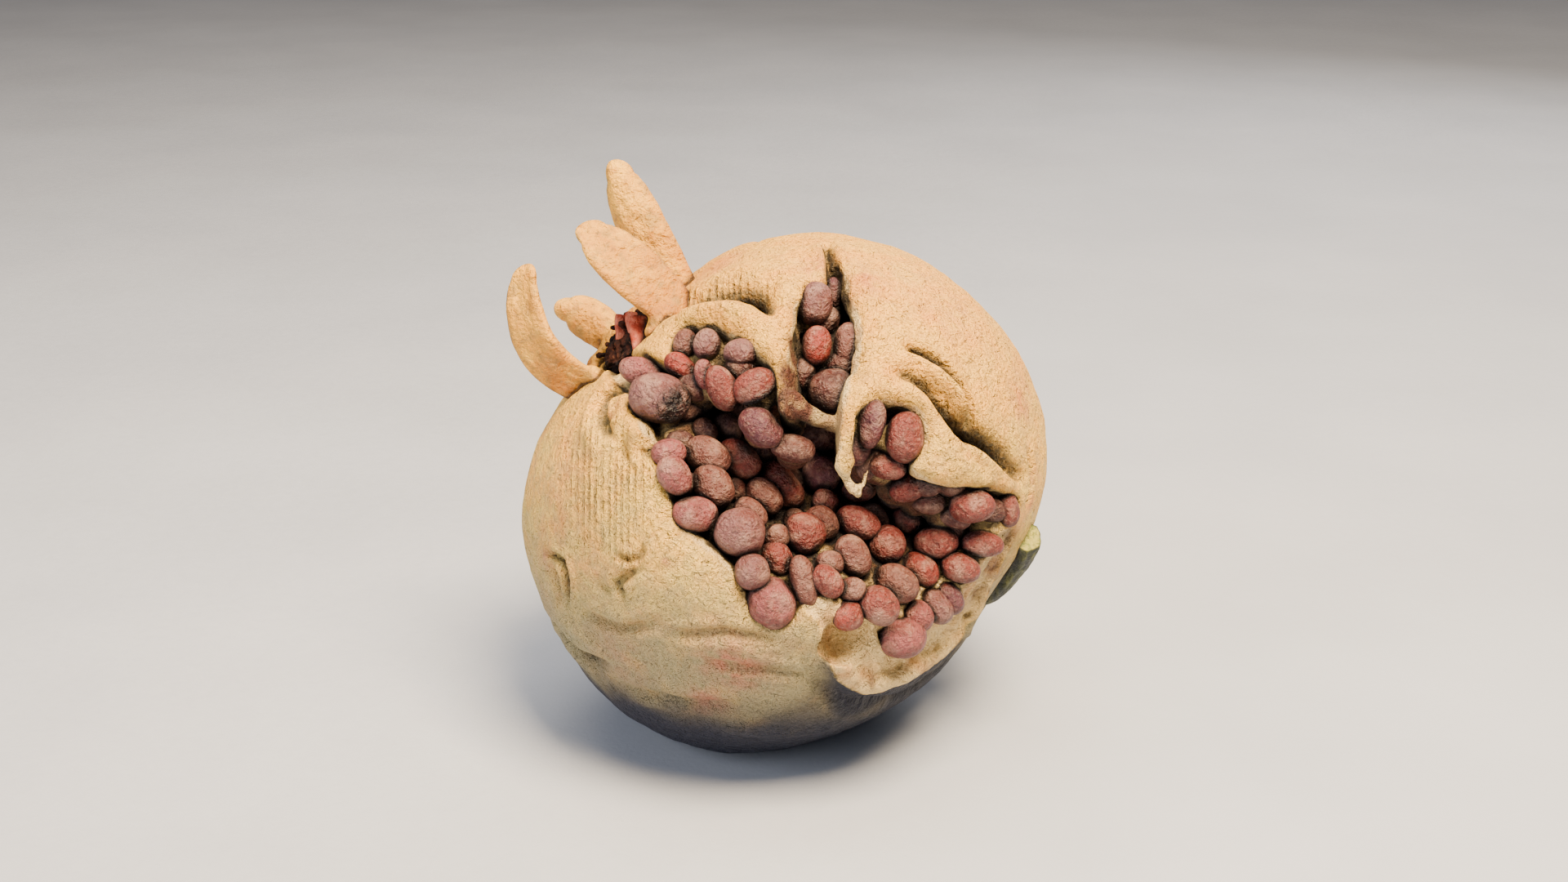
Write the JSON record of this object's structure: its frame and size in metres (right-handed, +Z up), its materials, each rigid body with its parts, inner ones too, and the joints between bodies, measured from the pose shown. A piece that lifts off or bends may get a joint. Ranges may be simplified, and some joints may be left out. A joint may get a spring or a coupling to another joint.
{
  "type": "open pomegranate",
  "caption": "A ripe pomegranate split open on one side, with arils heaped in the torn rind, a crown of calyx lobes and a short cut stem",
  "frame": {"origin": "on the small flat of the rind that the fruit rests on, under the middle of its round body", "axes": "+Z up from the flat; -Y is the side that the torn face looks towards, and it leans back to look up by 20 degrees; +X is the stem's side and -X the crown's"},
  "size_m": [0.1001, 0.0995, 0.1063],
  "materials": {
    "rind_skin": "matt, finely grained fruit skin, cream yellow with pink-orange patches and a torn edge of pale pith",
    "calyx_skin": "matt leathery sepals, peach to tan",
    "aril_flesh": "soft juicy flesh in a thin skin, brownish rose, with a low sheen",
    "dried_stamens": "dry and dark brown to dull red",
    "stem_bark": "matt green-grey bark with a pale green cut face"
  },
  "bodies": {
    "root": {"rind": "rind_skin", "calyx": "calyx_skin", "stem": "stem_bark", "stamens": "dried_stamens", "arils_basin": "aril_flesh", "arils_crown_lobe": "aril_flesh", "arils_cleft": "aril_flesh", "arils_stem_lobe": "aril_flesh", "arils_crown": "aril_flesh"}
  },
  "joints": []
}
